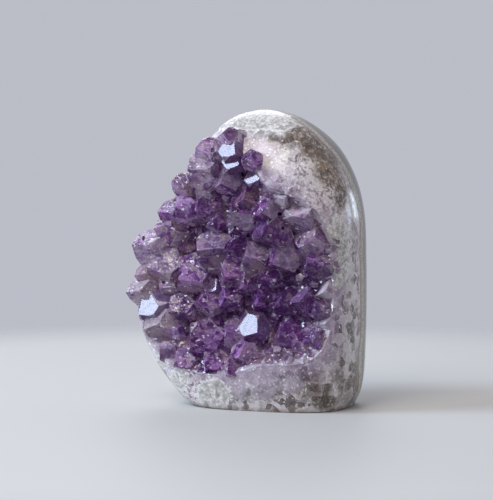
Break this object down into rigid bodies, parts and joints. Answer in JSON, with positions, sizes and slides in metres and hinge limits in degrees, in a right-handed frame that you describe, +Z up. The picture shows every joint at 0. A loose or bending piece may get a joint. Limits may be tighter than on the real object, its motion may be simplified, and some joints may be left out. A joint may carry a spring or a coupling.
{
  "type": "amethyst geode",
  "caption": "Free-standing cut and polished geode stone on a sawn flat base, with a hollow of amethyst crystals in its front.",
  "frame": {"origin": "on the plane of the sawn base, under the middle of the whole piece", "axes": "+Z up, the crystal face looks towards -Y, +X to the right as the crystal face is looked at"},
  "size_m": [0.0858, 0.0566, 0.1087],
  "materials": {
    "agate_and_quartz": "polished",
    "amethyst": "polished"
  },
  "bodies": {
    "root": {"polished_stone": "agate_and_quartz", "amethyst_crust": "amethyst"}
  },
  "joints": []
}
